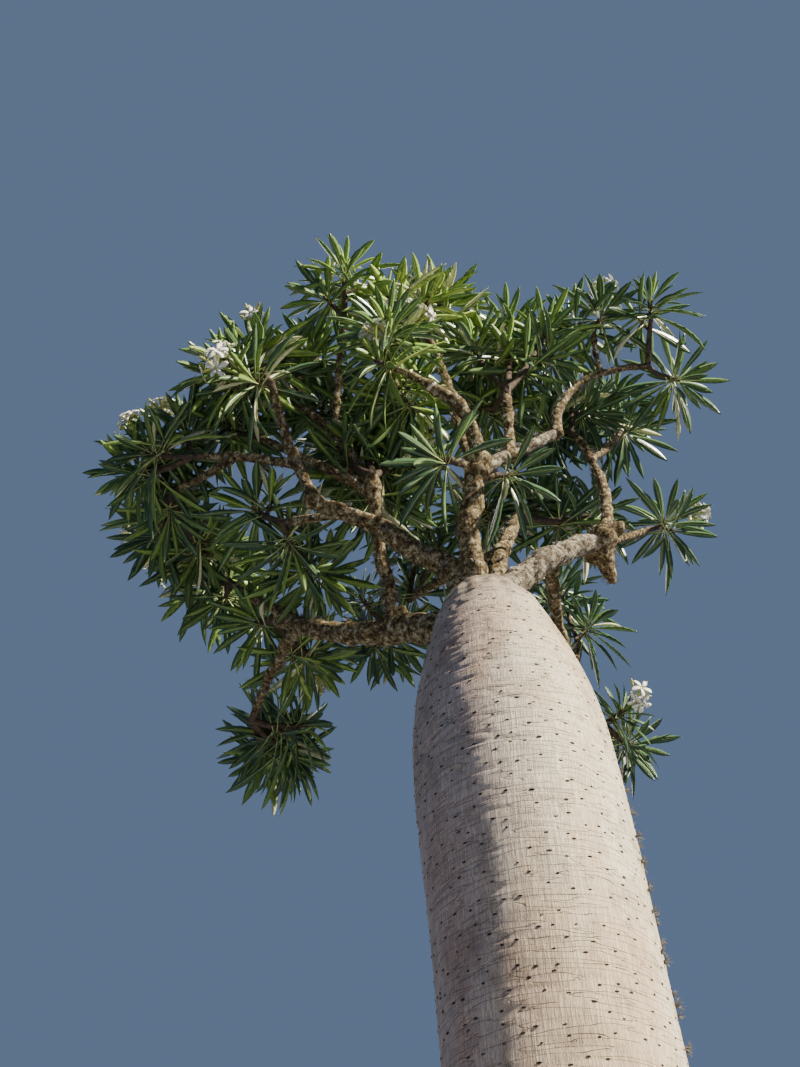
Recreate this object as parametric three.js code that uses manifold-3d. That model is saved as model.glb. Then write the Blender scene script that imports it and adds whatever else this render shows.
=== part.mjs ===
// A pachypodium tree: a bottle trunk, bent boughs and rosettes of long leaves.
// Millimetres, +Z up. The origin is on the ground, at the middle of the trunk's flat cut.
// +X is to the right and +Y to the back of the view that the sizes were taken from.
import * as THREE from 'three';
import { mergeVertices } from 'three/addons/utils/BufferGeometryUtils.js';
import Module from 'manifold-3d';

const wasm = await Module();
wasm.setup();

const UP = new THREE.Vector3(0, 0, 1);
const GAP = 0.5;
const SLIVER = 0.06;

// Trunk: height and diameter from the ground to the closed top between the boughs
const TRUNK_PROFILE = [
  [0, 780], [90, 715], [240, 665], [520, 635], [1000, 614], [1500, 604], [2000, 596],
  [2600, 590], [2900, 600], [3200, 611], [3400, 609], [3560, 594], [3700, 554],
  [3820, 501], [3930, 440], [4030, 376], [4110, 306], [4150, 240], [4168, 150],
];
const TRUNK_SIDES = 22;
const LEAN = 0.0311;
const LEAN_GROWTH = 0.000004;
const FLARE_LOBES = 5;
const FLARE_DEPTH = 0.06;
const FLARE_HEIGHT = 260;
const FORK = new THREE.Vector3(-215, 0, 4250);

// A limb's root is swollen into a collar where it leaves its parent
const COLLAR = 0.28;
const COLLAR_LENGTH = 0.16;
const LIMB_STEPS = 4;

// Leaves, in a close spiral round the end of a shoot, each keeled along its midrib
const LEAF_LENGTH = 295;
const LEAF_WIDTH = 68;
const LEAF_THICKNESS = 12;
const LEAVES_PER_ROSETTE = 9;
const LEAVES_PER_SIDE_ROSETTE = 4;
const GOLDEN_ANGLE = 137.508;
const YOUNG_ANGLE = 34;
const OLD_ANGLE = 108;
const ROSETTE_HEIGHT = 62;
const SHORTER = [1, 0.82, 0.66];
const SPACE_MARGIN = 2;
const BLADE_FROM = 0.2;

// Twigs are three-sided. A shoot turns up towards its end, and a long one bears a side twig.
const TWIG_SIDES = 3;
const TWIG_STEPS = 2;
const THICKEST_TWIG = 20;
const TURN_UP = 0.8;
const WANDER = 3;
const LEAF_SEEDS = 1000;
const LONG_SHOOT = 300;
const SIDE_PLACE = [0.5, 0.72];
const SIDE_SPREAD = [40, 65];
const SIDE_LENGTH = [90, 150];

// Blossom: a stalk above the leaves with one pale head
const STALK_LENGTH = 205;
const STALK_RADIUS = 6;
const HEAD_RADIUS = 42;
const HEAD_DEPTH = 56;

// Boughs. tip is bearing in degrees round the fork (0 right, 90 back), reach from it and
// height above ground. bow moves the middle control point off the chord, to the side and
// up. radius is at the root and at the tip. at is the place along the parent.
const LIMBS = [
  { name: 'low_left', from: 'trunk', at: 4040, tip: [145, 950, 4570], bow: [0, -100], radius: [66, 30] },
  { name: 'left', from: 'trunk', at: 4070, tip: [188, 624, 4588], bow: [10, 185], radius: [54, 27] },
  { name: 'right', from: 'trunk', at: 4060, tip: [15, 526, 4610], bow: [30, 130], radius: [58, 38] },
  { name: 'front', from: 'trunk', at: 4070, tip: [272, 221, 4650], bow: [95, 20], radius: [44, 38] },
  { name: 'back', from: 'trunk', at: 4070, tip: [58, 400, 4960], bow: [0, 60], radius: [42, 24] },
  { name: 'trailing_left', from: 'low_left', at: 0.88, tip: [131, 1405, 4504],
    bow: [-20, 0], radius: [27, 18] },
  { name: 'left_back', from: 'low_left', at: 0.8, tip: [148, 1190, 4860],
    bow: [0, -30], radius: [24, 16] },
  { name: 'low_left_back', from: 'low_left', at: 0.52, tip: [112, 955, 4863],
    bow: [0, -60], radius: [26, 16] },
  { name: 'riser', from: 'low_left', at: 0.38, tip: [189, 395, 4705], bow: [30, 30], radius: [28, 23] },
  { name: 'inner_left', from: 'riser', at: 0.93, tip: [179, 861, 5105], bow: [0, 20], radius: [21, 15] },
  { name: 'upper_left', from: 'riser', at: 0.9, tip: [182, 703, 5276], bow: [90, 150], radius: [20, 15] },
  { name: 'top_left', from: 'upper_left', at: 0.72, tip: [206, 590, 5560],
    bow: [0, -20], radius: [17, 14] },
  { name: 'left_riser', from: 'left', at: 0.97, tip: [198, 826, 5050], bow: [70, 40], radius: [24, 16] },
  { name: 'left_reach', from: 'left_riser', at: 0.36, tip: [181, 1071, 4944],
    bow: [0, 40], radius: [20, 15] },
  { name: 'left_reach_low', from: 'left_reach', at: 0.68, tip: [172, 1223, 4971],
    bow: [0, -30], radius: [16, 14] },
  { name: 'left_under', from: 'left', at: 0.84, tip: [176, 715, 4620],
    bow: [-20, -30], radius: [20, 16] },
  { name: 'stub', from: 'front', at: 0.95, tip: [247, 437, 4880], bow: [-100, 80], radius: [30, 23] },
  { name: 'front_left', from: 'stub', at: 0.6, tip: [232, 490, 5020], bow: [0, 40], radius: [19, 14] },
  { name: 'top', from: 'front', at: 0.9, tip: [236, 300, 5480], bow: [40, 60], radius: [24, 16] },
  { name: 'front_right', from: 'front', at: 0.96, tip: [345, 372, 5006],
    bow: [0, -20], radius: [30, 20] },
  { name: 'right_upper', from: 'front_right', at: 0.96, tip: [359, 785, 5602],
    bow: [0, 230], radius: [20, 14] },
  { name: 'right_upper_side', from: 'right_upper', at: 0.72, tip: [349, 599, 5701],
    bow: [0, 10], radius: [14, 12] },
  { name: 'centre', from: 'front_right', at: 0.36, tip: [311, 232, 5148],
    bow: [0, 20], radius: [24, 18] },
  { name: 'front_twig_left', from: 'front', at: 0.93, tip: [253, 279, 4592],
    bow: [0, 10], radius: [17, 14] },
  { name: 'front_twig_right', from: 'front', at: 0.9, tip: [295, 163, 4661],
    bow: [0, -10], radius: [18, 14] },
  { name: 'right_riser', from: 'right', at: 0.97, tip: [24, 552, 5400],
    bow: [140, -40], radius: [28, 16] },
  { name: 'right_side', from: 'right_riser', at: 0.78, tip: [26, 832, 5598],
    bow: [0, -30], radius: [15, 13] },
  { name: 'right_reach', from: 'right', at: 0.96, tip: [32, 949, 5075],
    bow: [20, -30], radius: [20, 14] },
  { name: 'right_back', from: 'right', at: 0.6, tip: [64, 1500, 4690],
    bow: [-100, -60], radius: [28, 18] },
  { name: 'right_back_side', from: 'right_back', at: 0.66, tip: [64, 1288, 5000],
    bow: [0, -20], radius: [16, 13] },
  { name: 'back_left', from: 'back', at: 0.55, tip: [104, 900, 5030], bow: [0, 30], radius: [24, 15] },
  { name: 'far_back', from: 'back_left', at: 0.5, tip: [86, 1180, 4830],
    bow: [0, -40], radius: [20, 14] },
];

// Masses of foliage, each on the bough of its name. A stem carries on from the bough's
// tip, and shoots fork from its end: bearing, rise above level and length of each. A blossom
// has the number of its shoot, and its bearing and rise.
const MASSES = [
  { limb: 'trailing_left', seed: 11, stem: 60,
    shoots: [[15, -15, 260], [75, 10, 300], [65, -10, 440], [80, 0, 540]] },
  { limb: 'low_left', seed: 12, stem: 50,
    shoots: [[70, 0, 450], [115, 25, 250]],
    blossoms: [[0, 80, 0]] },
  { limb: 'low_left_back', seed: 13, stem: 60, shoots: [[115, -30, 180], [75, 5, 240], [230, -15, 190]] },
  { limb: 'left_back', seed: 14, stem: 60,
    shoots: [[100, -15, 160], [120, 50, 350], [135, 20, 300]],
    blossoms: [[2, 180, 20]] },
  { limb: 'inner_left', seed: 15, stem: 60, shoots: [[155, 30, 240], [125, 60, 470]] },
  { limb: 'upper_left', seed: 16, stem: 40,
    shoots: [[130, 85, 250], [75, 80, 530], [60, 25, 410]],
    blossoms: [[0, 140, 60]] },
  { limb: 'top_left', seed: 17, stem: 40, shoots: [[270, 50, 230], [185, 50, 170]] },
  { limb: 'left_riser', seed: 18, stem: 40,
    shoots: [[175, 0, 100], [130, 65, 430], [145, 35, 410]],
    blossoms: [[1, 255, 45], [0, 210, 0], [0, 210, 35]] },
  { limb: 'left_reach', seed: 19, stem: 60,
    shoots: [[170, 0, 220], [135, 65, 270], [150, -5, 360]],
    blossoms: [[0, 210, 50], [1, 200, 35], [1, 180, 65]] },
  { limb: 'left_reach_low', seed: 20, stem: 50,
    shoots: [[95, -35, 140], [105, -5, 440], [80, -10, 500]],
    blossoms: [[1, 120, 10], [1, 170, 20]] },
  { limb: 'left_under', seed: 21, stem: 40, shoots: [[145, 40, 260], [65, -50, 130], [70, -5, 480]] },
  { limb: 'front_left', seed: 22, stem: 40,
    shoots: [[210, -30, 50], [90, 80, 330], [80, 15, 430]],
    blossoms: [[0, 250, 75], [1, 330, 70], [1, 0, 55], [1, 0, 30]] },
  { limb: 'top', seed: 23, stem: 60, shoots: [[95, 85, 270], [200, 30, 220], [50, 60, 430]] },
  { limb: 'right_upper', seed: 24, stem: 50, shoots: [[270, 25, 300], [40, 10, 300]] },
  { limb: 'right_upper_side', seed: 25, stem: 40,
    shoots: [[335, 50, 120], [145, 40, 160]],
    blossoms: [[0, 290, 75], [0, 30, 70]] },
  { limb: 'centre', seed: 26, stem: 40,
    shoots: [[130, 65, 540], [15, 60, 560], [100, 30, 440], [65, 75, 680]],
    blossoms: [[1, 10, 55]] },
  { limb: 'front_twig_left', seed: 27, stem: 30, shoots: [[140, 20, 70]] },
  { limb: 'front_twig_right', seed: 28, stem: 20, shoots: [[20, 10, 90]] },
  { limb: 'right_riser', seed: 29, stem: 50, shoots: [[50, 70, 350], [110, 50, 380]] },
  { limb: 'right_side', seed: 30, stem: 50, shoots: [[55, 40, 160], [120, 75, 310]] },
  { limb: 'right_reach', seed: 31, stem: 60,
    shoots: [[35, 35, 250]],
    blossoms: [[0, 0, 15]] },
  { limb: 'right_back', seed: 32, stem: 60,
    shoots: [[315, -15, 120], [45, -30, 240]],
    blossoms: [[0, 290, -5]] },
  { limb: 'right_back_side', seed: 33, stem: 50, shoots: [[350, 40, 120], [105, 75, 480]] },
  { limb: 'back', seed: 34, stem: 60, shoots: [[115, 40, 460], [65, 50, 540], [30, 15, 570]] },
  { limb: 'back_left', seed: 35, stem: 60, shoots: [[65, 50, 140], [310, 25, 300], [285, 60, 440]] },
  { limb: 'far_back', seed: 36, stem: 60, shoots: [[150, -60, 90], [60, -25, 350]] },
  { limb: 'riser', seed: 37, stem: 40,
    shoots: [[125, 50, 540], [60, 55, 480], [90, 25, 500], [100, 60, 740]] },
];

const barkMaterial = () => new THREE.MeshStandardMaterial({ color: 0xb3a593, roughness: 0.62 });
const limbMaterial = () => new THREE.MeshStandardMaterial({ color: 0x6f5f4b, roughness: 0.85 });
const leafMaterial = () => new THREE.MeshStandardMaterial({ color: 0x47652a, roughness: 0.42 });

// Seeded draws from 0 to 1, the same for the same seed
class Draws {
  constructor(seed) {
    this.state = Math.imul(seed, 2654435761) >>> 0;
  }

  next() {
    this.state = (Math.imul(this.state, 1664525) + 1013904223) >>> 0;
    return this.state / 4294967296;
  }

  between(low, high) {
    return low + (high - low) * this.next();
  }
}

const radians = (degrees) => degrees * Math.PI / 180;

// A direction from its bearing and its rise above level
function aimed(bearing, rise) {
  const level = Math.cos(radians(rise));
  return new THREE.Vector3(
    level * Math.cos(radians(bearing)), level * Math.sin(radians(bearing)), Math.sin(radians(rise)));
}

// A place round the fork, from bearing, reach and height
function place([bearing, reach, height]) {
  return new THREE.Vector3(FORK.x, FORK.y, height).addScaledVector(aimed(bearing, 0), reach);
}

// Two directions square to a heading: level to the right of it, and the upper one
function squareTo(heading) {
  const side = new THREE.Vector3().crossVectors(heading, UP);
  if (side.length() < 0.05) {
    side.set(1, 0, 0);
  }
  side.normalize();
  const lift = new THREE.Vector3().crossVectors(side, heading).normalize();
  return [side, lift];
}

// A heading turned away from itself by spread, in the direction that roll gives
function turned(heading, spread, roll) {
  const [side, lift] = squareTo(heading);
  const outward = side.multiplyScalar(Math.cos(radians(roll)));
  outward.addScaledVector(lift, Math.sin(radians(roll))).multiplyScalar(Math.sin(radians(spread)));
  return outward.addScaledVector(heading, Math.cos(radians(spread)));
}

// A closed mesh as a solid, with its shared corners merged
function solidOf(geometry) {
  geometry.deleteAttribute('normal');
  geometry.deleteAttribute('uv');
  const merged = mergeVertices(geometry, 1e-4);
  const triangles = [];
  const index = merged.index.array;
  for (let i = 0; i < index.length; i += 3) {
    const [a, b, c] = [index[i], index[i + 1], index[i + 2]];
    if (a !== b && b !== c && c !== a) {
      triangles.push(a, b, c);
    }
  }
  return new wasm.Manifold(new wasm.Mesh({
    numProp: 3,
    vertProperties: new Float32Array(merged.attributes.position.array),
    triVerts: new Uint32Array(triangles),
  }));
}

// A solid back as a geometry for a mesh
function geometryOf(solid) {
  const mesh = solid.getMesh();
  const geometry = new THREE.BufferGeometry();
  geometry.setAttribute('position', new THREE.BufferAttribute(new Float32Array(mesh.vertProperties), 3));
  geometry.setIndex(new THREE.BufferAttribute(new Uint32Array(mesh.triVerts), 1));
  geometry.computeVertexNormals();
  return geometry;
}

function largest(bodies) {
  return bodies.reduce((most, body) => (body.volume() > most.volume() ? body : most));
}

// The largest closed body of a solid, without slivers
function mainBody(solid) {
  const body = largest(solid.decompose()).asOriginal().simplify(SLIVER);
  return largest(body.decompose());
}

// A cylinder with its rings laid on frames, one frame a step
function ringedSolid(frames, sides) {
  const geometry = new THREE.CylinderGeometry(1, 1, 1, sides, frames.length - 1);
  const position = geometry.attributes.position;
  const spot = new THREE.Vector3();
  for (let i = 0; i < position.count; i += 1) {
    const step = Math.round((position.getY(i) + 0.5) * (frames.length - 1));
    const frame = frames[step];
    const x = position.getX(i);
    const z = position.getZ(i);
    const radius = frame.radius(Math.atan2(z, x));
    spot.copy(frame.centre).addScaledVector(frame.side, x * radius).addScaledVector(frame.lift, z * radius);
    position.setXYZ(i, spot.x, spot.y, spot.z);
  }
  return solidOf(geometry);
}

// Frames along a curve, turned as little as possible from one to the next. The first and
// the last stand out beyond the curve's ends by beyond.
function framesAlong(curve, steps, radiusAt, beyond = 0) {
  const frames = [];
  let side = null;
  for (let i = 0; i <= steps; i += 1) {
    const t = i / steps;
    const heading = curve.getTangent(t);
    if (side === null) {
      [side] = squareTo(heading);
    } else {
      side = side.clone().addScaledVector(heading, -side.dot(heading)).normalize();
    }
    const lift = new THREE.Vector3().crossVectors(side, heading).normalize();
    const radius = radiusAt(t);
    const past = (i === steps ? beyond : 0) - (i === 0 ? beyond : 0);
    const centre = curve.getPoint(t).addScaledVector(heading, past);
    frames.push({ centre, side, lift, radius: () => radius });
  }
  return frames;
}

// Trunk: level rings on a leaning axis, with lobes in the root flare
function trunkAxis(height) {
  return new THREE.Vector3(-height * (LEAN + LEAN_GROWTH * height), 0, height);
}

function trunkSolid(extra) {
  const [top] = TRUNK_PROFILE.at(-1);
  const frames = TRUNK_PROFILE.map(([height, diameter]) => ({
    centre: trunkAxis(height + extra * height / top),
    side: new THREE.Vector3(1, 0, 0),
    lift: new THREE.Vector3(0, -1, 0),
    radius: (angle) => {
      const flare = FLARE_DEPTH * Math.exp(-height / FLARE_HEIGHT);
      return (diameter / 2) * (1 + flare * Math.cos(FLARE_LOBES * angle)) + extra;
    },
  }));
  return ringedSolid(frames, TRUNK_SIDES);
}

// A limb's curve, from its parent's middle line to its tip
function limbCurve(limb, curves) {
  const root = limb.from === 'trunk' ? trunkAxis(limb.at) : curves.get(limb.from).getPoint(limb.at);
  const tip = place(limb.tip);
  const chord = tip.clone().sub(root).normalize();
  const [side, lift] = squareTo(chord);
  const middle = root.clone().add(tip).multiplyScalar(0.5);
  middle.addScaledVector(side, limb.bow[0]).addScaledVector(lift, limb.bow[1]);
  return new THREE.QuadraticBezierCurve3(root, middle, tip);
}

function limbRadius(limb, t) {
  const [root, tip] = limb.radius;
  const collar = COLLAR * Math.max(0, 1 - t / COLLAR_LENGTH) ** 2;
  return (root + (tip - root) * t) * (1 + collar);
}

function limbSolid(limb, curve, extra) {
  const sides = limb.radius[0] > 35 ? 8 : 5;
  const frames = framesAlong(curve, LIMB_STEPS, (t) => limbRadius(limb, t) + extra, extra);
  return ringedSolid(frames, sides);
}

// A shoot: straight out of its fork and then turned up, with the end that bears leaves
function shootCurve(start, heading, length) {
  const bend = start.clone().addScaledVector(heading, length / 2);
  const upward = heading.clone().addScaledVector(UP, TURN_UP).normalize();
  const end = bend.clone().addScaledVector(upward, length / 2);
  return new THREE.QuadraticBezierCurve3(start, bend, end);
}

// The stem and shoots of one mass, from its seed. The side twigs follow the named shoots.
function branch(mass, limb, curve) {
  const draws = new Draws(mass.seed);
  const heading = curve.getTangent(1);
  const radius = Math.min(limb.radius[1], THICKEST_TWIG) * 0.95;
  const start = curve.getPoint(1).addScaledVector(heading, GAP);
  const fork = start.clone().addScaledVector(heading, mass.stem);
  const main = [];
  const sides = [];
  for (const [bearing, rise, length] of mass.shoots) {
    const aim = aimed(bearing + draws.between(-WANDER, WANDER), rise + draws.between(-WANDER, WANDER));
    const reach = shootCurve(fork, aim, length);
    const shoot = { curve: reach, radius: radius * 0.86, leaves: LEAVES_PER_ROSETTE };
    main.push(shoot);
    if (length > LONG_SHOOT) {
      const at = draws.between(...SIDE_PLACE);
      const spread = draws.between(...SIDE_SPREAD);
      const out = turned(shoot.curve.getTangent(at), spread, draws.between(0, 360));
      const side = shootCurve(shoot.curve.getPoint(at), out, draws.between(...SIDE_LENGTH));
      sides.push({ curve: side, radius: radius * 0.7, leaves: LEAVES_PER_SIDE_ROSETTE });
    }
  }
  return { mass, stem: new THREE.LineCurve3(start, fork), radius, main, sides };
}

function twigSolid(curve, steps, rootRadius, tipRadius) {
  return ringedSolid(framesAlong(curve, steps, (t) => rootRadius + (tipRadius - rootRadius) * t), TWIG_SIDES);
}

// A shoot's solid starts inside what bears it
function shootSolid(shoot) {
  const { curve, radius } = shoot;
  const sunk = curve.v0.clone().addScaledVector(curve.getTangent(0), -radius * 0.5);
  const rooted = new THREE.QuadraticBezierCurve3(sunk, curve.v1, curve.v2);
  return twigSolid(rooted, TWIG_STEPS, radius, radius * 0.8);
}

// The leaves of one rosette, from the young ones in the middle to the old ones below
function rosetteLeaves(shoot, draws) {
  const centre = shoot.curve.getPoint(1);
  const axis = shoot.curve.getTangent(1);
  const phase = draws.between(0, 360);
  const leaves = [];
  for (let k = 0; k < shoot.leaves; k += 1) {
    const age = (k + 0.5) / shoot.leaves;
    const spread = YOUNG_ANGLE + (OLD_ANGLE - YOUNG_ANGLE) * age ** 0.8 + draws.between(-6, 6);
    const heading = turned(axis, spread, phase + GOLDEN_ANGLE * k);
    const length = LEAF_LENGTH * Math.min(1, 0.72 + 0.6 * age) * draws.between(0.92, 1);
    const root = centre.clone().addScaledVector(axis, -ROSETTE_HEIGHT * age);
    leaves.push({ root, heading, axis, length });
  }
  return leaves;
}

// A slim body pointed at both ends. Its section has so many sides, reaches depth below the
// middle line and half of the width to either side of it.
function spindle(centre, heading, under, sides, size) {
  const outline = [new THREE.Vector2(0, -0.5), new THREE.Vector2(1, 0), new THREE.Vector2(0, 0.5)];
  const geometry = new THREE.LatheGeometry(outline, sides);
  const across = new THREE.Vector3().crossVectors(heading, under);
  const basis = [across, heading, under].map((axis, i) => axis.clone().multiplyScalar(size[i]));
  geometry.applyMatrix4(new THREE.Matrix4().makeBasis(...basis).setPosition(centre));
  return solidOf(geometry);
}

// A leaf, flat above and keeled below, with its root sunk to the middle of the shoot. from
// leaves out that share of it at the root.
function leafSolid(leaf, length, extra, from = 0) {
  const across = new THREE.Vector3().crossVectors(leaf.axis, leaf.heading).normalize();
  const under = new THREE.Vector3().crossVectors(across, leaf.heading).normalize();
  const middle = leaf.root.clone().addScaledVector(leaf.heading, length * (1 + from) / 2);
  const size = [LEAF_WIDTH / Math.sqrt(3), length * (1 - from), LEAF_THICKNESS / 1.5];
  return spindle(middle, leaf.heading, under, 3, size.map((span) => span + extra * 2));
}

// Half a leaf's width at a share of its length
const leafHalf = (part) => LEAF_WIDTH * (0.5 - Math.abs(part - 0.5));

// Spots along a stalk, each with the half width that it takes up there
function spotsAlong(root, heading, length, halfAt) {
  return [0.3, 0.5, 0.7, 0.85, 1].map(
    (part) => ({ spot: root.clone().addScaledVector(heading, length * part), half: halfAt(part) }));
}

// True where the spots stay nearer to their own mass's rosettes than to any other's
function insideSpace(spots, mass, centres) {
  const nearer = (spot) => (a, b) => (spot.distanceTo(b.spot) < spot.distanceTo(a.spot) ? b : a);
  return spots.every(({ spot, half }) => {
    const own = centres.filter((centre) => centre.mass === mass).reduce(nearer(spot)).spot;
    return centres.every((centre) => {
      if (centre.mass === mass) {
        return true;
      }
      const between = centre.spot.distanceTo(own);
      const clear = (spot.distanceToSquared(centre.spot) - spot.distanceToSquared(own)) / (2 * between);
      return clear >= SPACE_MARGIN + half;
    });
  });
}

function boxesMeet(a, b) {
  return [0, 1, 2].every((i) => a.min[i] <= b.max[i] && b.min[i] <= a.max[i]);
}

// True where a solid meets one of the obstacles
function meets(solid, obstacles) {
  const box = solid.boundingBox();
  return obstacles.some(
    (obstacle) => boxesMeet(box, obstacle.box) && solid.intersect(obstacle.solid).volume() > 0);
}

function obstacleOf(solid) {
  return { solid, box: solid.boundingBox() };
}

// A solid cut clear of the obstacles that it meets
function cutClear(solid, obstacles) {
  const met = obstacles.filter((obstacle) => meets(solid, [obstacle]));
  if (met.length === 0) {
    return solid;
  }
  return largest(met.reduce((rest, one) => rest.subtract(one.solid), solid).decompose());
}

// A blossom's stalk starts inside the end of its shoot
function blossomOf(shoot, bearing, rise) {
  const axis = shoot.curve.getTangent(1);
  return { root: shoot.curve.getPoint(1).addScaledVector(axis, -12), heading: aimed(bearing, rise) };
}

// A stalk with its head
function blossomSolid({ root, heading }) {
  const end = root.clone().addScaledVector(heading, STALK_LENGTH);
  const [, lift] = squareTo(heading);
  const stalk = twigSolid(new THREE.LineCurve3(root, end), 1, STALK_RADIUS, STALK_RADIUS);
  return stalk.add(spindle(end, heading, lift, 5, [HEAD_RADIUS, HEAD_DEPTH, HEAD_RADIUS]));
}

const tree = new THREE.Group();

function addNode(name, solid, material) {
  const mesh = new THREE.Mesh(geometryOf(solid), material);
  mesh.name = name;
  tree.add(mesh);
}

// Trunk and boughs. Each bough is cut clear of those before it.
const curves = new Map();
const limbs = new Map();
const tools = [trunkSolid(GAP)];
const obstacles = [obstacleOf(trunkSolid(GAP))];
addNode('trunk', trunkSolid(0), barkMaterial());
for (const limb of LIMBS) {
  const curve = limbCurve(limb, curves);
  curves.set(limb.name, curve);
  limbs.set(limb.name, limb);
  let solid = limbSolid(limb, curve, 0);
  for (const tool of tools) {
    solid = solid.subtract(tool);
  }
  addNode(`bough_${limb.name}`, mainBody(solid), limbMaterial());
  const tool = limbSolid(limb, curve, GAP);
  tools.push(tool);
  obstacles.push(obstacleOf(tool));
}

// Masses: first all the twigs, cut clear of the boughs, then the leaves that keep to their own
// mass's space. A side twig or a leaf that would touch a bough or another mass is left out.
const trees = MASSES.map((mass) => branch(mass, limbs.get(mass.limb), curves.get(mass.limb)));
for (const one of trees) {
  one.twigs = twigSolid(one.stem, 1, one.radius, one.radius * 0.92);
  for (const shoot of one.main) {
    one.twigs = one.twigs.add(shootSolid(shoot));
  }
  one.twigs = cutClear(one.twigs, obstacles);
}
for (const one of trees) {
  const others = trees.filter((other) => other !== one).map((other) => obstacleOf(other.twigs));
  one.blocked = obstacles.concat(others);
  one.sides = one.sides.filter((side) => !meets(shootSolid(side), one.blocked));
  one.twigs = one.sides.reduce((solid, side) => solid.add(shootSolid(side)), one.twigs);
}
const centres = trees.flatMap((one) => one.main.concat(one.sides).map(
  (shoot) => ({ mass: one.mass, spot: shoot.curve.getPoint(1) })));
for (const one of trees) {
  const draws = new Draws(one.mass.seed + LEAF_SEEDS);
  const others = trees.filter((other) => other !== one).map((other) => obstacleOf(other.twigs));
  const blocked = obstacles.concat(others);
  const pieces = [one.twigs];
  const own = [obstacleOf(one.twigs)];
  for (const shoot of one.main.concat(one.sides)) {
    for (const leaf of rosetteLeaves(shoot, draws)) {
      for (const share of SHORTER) {
        const length = leaf.length * share;
        const blade = leafSolid(leaf, length, GAP, BLADE_FROM);
        const spots = spotsAlong(leaf.root, leaf.heading, length, leafHalf);
        if (insideSpace(spots, one.mass, centres) && !meets(leafSolid(leaf, length, GAP), blocked)
          && !meets(blade, own)) {
          pieces.push(leafSolid(leaf, length, 0));
          own.push(obstacleOf(blade));
          break;
        }
      }
    }
  }
  for (const [number, bearing, rise] of one.mass.blossoms ?? []) {
    const blossom = blossomOf(one.main[number], bearing, rise);
    const spots = spotsAlong(blossom.root, blossom.heading, STALK_LENGTH, () => HEAD_RADIUS);
    const solid = blossomSolid(blossom);
    if (insideSpace(spots, one.mass, centres) && !meets(solid, blocked)) {
      pieces.push(solid);
    }
  }
  addNode(`leaves_${one.mass.limb}`, mainBody(wasm.Manifold.union(pieces)), leafMaterial());
}

export default tree;
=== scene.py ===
"""A pachypodium tree: bark relief, twigs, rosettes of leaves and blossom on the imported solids.

The tables and the seeded rule are the part's own, in millimetres. Meshes are in metres.
"""
from math import cos, pi, radians, sin, tan

import bpy
import numpy as np
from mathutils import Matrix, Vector
from mathutils.kdtree import KDTree


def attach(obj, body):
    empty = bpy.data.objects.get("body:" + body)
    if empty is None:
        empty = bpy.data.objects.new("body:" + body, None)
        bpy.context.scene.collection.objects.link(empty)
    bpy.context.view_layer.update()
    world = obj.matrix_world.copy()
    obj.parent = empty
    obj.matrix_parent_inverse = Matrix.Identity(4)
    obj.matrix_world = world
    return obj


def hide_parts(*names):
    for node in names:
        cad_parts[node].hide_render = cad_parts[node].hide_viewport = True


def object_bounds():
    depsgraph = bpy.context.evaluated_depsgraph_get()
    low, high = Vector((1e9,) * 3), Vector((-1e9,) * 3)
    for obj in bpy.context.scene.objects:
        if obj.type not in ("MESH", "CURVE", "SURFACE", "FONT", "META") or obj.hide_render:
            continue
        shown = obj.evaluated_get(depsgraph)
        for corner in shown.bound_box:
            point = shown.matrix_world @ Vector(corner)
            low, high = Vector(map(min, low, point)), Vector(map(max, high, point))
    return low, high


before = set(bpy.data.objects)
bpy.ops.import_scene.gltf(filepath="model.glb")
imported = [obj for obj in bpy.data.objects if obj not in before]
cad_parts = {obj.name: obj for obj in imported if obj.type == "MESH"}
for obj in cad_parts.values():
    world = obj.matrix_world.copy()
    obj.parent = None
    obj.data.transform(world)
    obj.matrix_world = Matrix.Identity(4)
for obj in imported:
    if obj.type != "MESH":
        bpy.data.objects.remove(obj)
cad_low, cad_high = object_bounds()

MM = 0.001
UP = np.array((0.0, 0.0, 1.0))
FORK = (-215.0, 0.0)

# Trunk: height and diameter
TRUNK_PROFILE = (
    (0, 780), (90, 715), (240, 665), (520, 635), (1000, 614), (1500, 604), (2000, 596),
    (2600, 590), (2900, 600), (3200, 611), (3400, 609), (3560, 594), (3700, 554),
    (3820, 501), (3930, 440), (4030, 376), (4110, 306), (4150, 240), (4168, 150),
)
LEAN = 0.0311
LEAN_GROWTH = 0.000004
FLARE_LOBES = 5
FLARE_DEPTH = 0.06
FLARE_HEIGHT = 260
TRUNK_COLUMNS = 132
TRUNK_ROW = 6.5

# Relief of the trunk's bark
SWELL_DEPTH = 12
BAND_SWAY = 14
CREASE_WIDTH = 0.085
SHOULDER_HEIGHT = 3620
SHOULDER_SPAN = 400
LUMP_DEPTH = 16
LUMPS_FROM = 3900
LUMPS_SPAN = 200

# Scars: rows up the trunk, half sizes, and rings (share of the size, height on the bark)
SCAR_HEIGHTS = (60, 4060)
SCAR_ROW = 43
SCAR_SPACING = 56
SCAR_WIDE = (4, 8)
SCAR_TALL = (1.8, 3.6)
SCARS_MISSING = 0.16
SCAR_SIDES = 8
SCAR_RINGS = ((1, -1.2), (0.72, 1.5), (0.3, 0.4))

# Limbs
COLLAR = 0.28
COLLAR_LENGTH = 0.16
GNARL_STEP = 13
GNARL_WAVE = 105
GNARL_ROOM = 0.9
LIMB_RINGS = (55, 125)
LIMB_SWELL = (0.05, 0.22)
LIMB_SIDES = 14
THICK_TIP = 21
BOUGH_VOXEL = 6.5
BOUGH_RELIEF = 5.5
RELAX_STEPS = (0.5, -0.42, 0.5, -0.42)

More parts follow.
